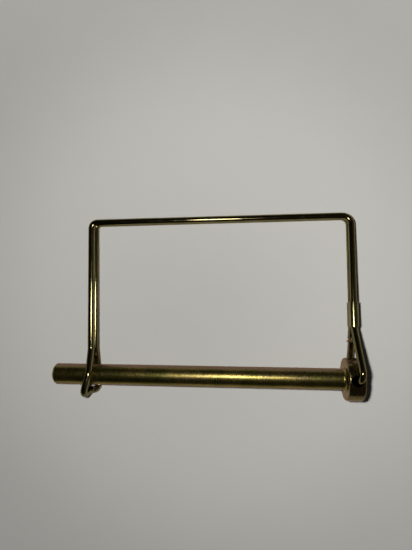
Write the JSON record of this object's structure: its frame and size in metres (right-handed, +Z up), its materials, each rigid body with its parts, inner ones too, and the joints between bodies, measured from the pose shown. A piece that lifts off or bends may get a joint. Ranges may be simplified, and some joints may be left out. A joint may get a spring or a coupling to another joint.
{
  "type": "hitch pin",
  "caption": "Headed lock pin with a square doubled-wire bail that swings on the head and snaps round the far end of the shank.",
  "frame": {"origin": "middle of the footprint on the table, at the table's height", "axes": "+Z up from the table; +X along the pin in plan, from the tip to the head; +Y from the pin to the bail's top bar"},
  "size_m": [0.0954, 0.058, 0.0174],
  "materials": {
    "pin_zinc": "satin yellow zinc plate",
    "wire_zinc": "glossy yellow zinc plate",
    "sleeve_zinc": "bright yellow zinc plate"
  },
  "bodies": {
    "pin": {"pin": "pin_zinc"},
    "bail": {"bail_wire": "wire_zinc", "sleeve": "sleeve_zinc"}
  },
  "joints": [
    {"name": "bail_swing", "type": "hinge", "parent": "pin", "child": "bail", "pos_m": [0.04504, -0.02243, 0.00892], "axis": [0.0433, -0.1332, -0.9901], "range_deg": [0, 225]}
  ]
}
